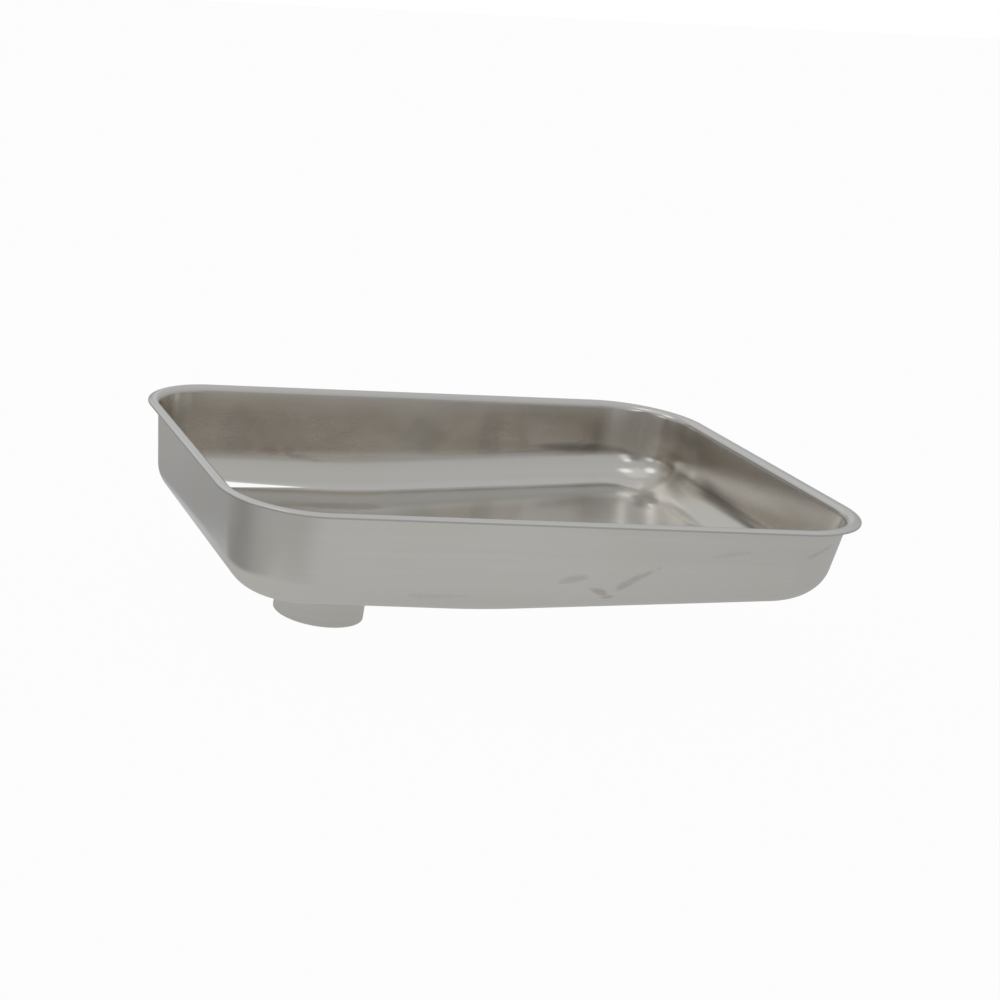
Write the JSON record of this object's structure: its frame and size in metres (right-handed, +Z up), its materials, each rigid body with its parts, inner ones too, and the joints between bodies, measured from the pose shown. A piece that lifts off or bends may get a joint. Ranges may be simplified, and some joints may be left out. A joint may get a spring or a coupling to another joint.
{
  "type": "drain pan",
  "caption": "Rectangular drawn-steel drain pan with rounded corners, a flat turned-out rim and a floor that falls to a welded round drain spigot.",
  "frame": {"origin": "centre of the spigot's open end", "axes": "+Z up out of the tray, along the spigot's axis; +X along the tray's length towards the shallow end; Y across the tray"},
  "size_m": [0.37, 0.265, 0.109],
  "materials": {
    "tray_steel": "satin stainless sheet, brushed along the length",
    "tube_steel": "satin stainless tube",
    "weld_metal": "brushed weld bead with faint heat tint"
  },
  "bodies": {
    "root": {"pan": "tray_steel", "spigot": "tube_steel", "outer_weld": "weld_metal", "inner_weld": "weld_metal"}
  },
  "joints": []
}
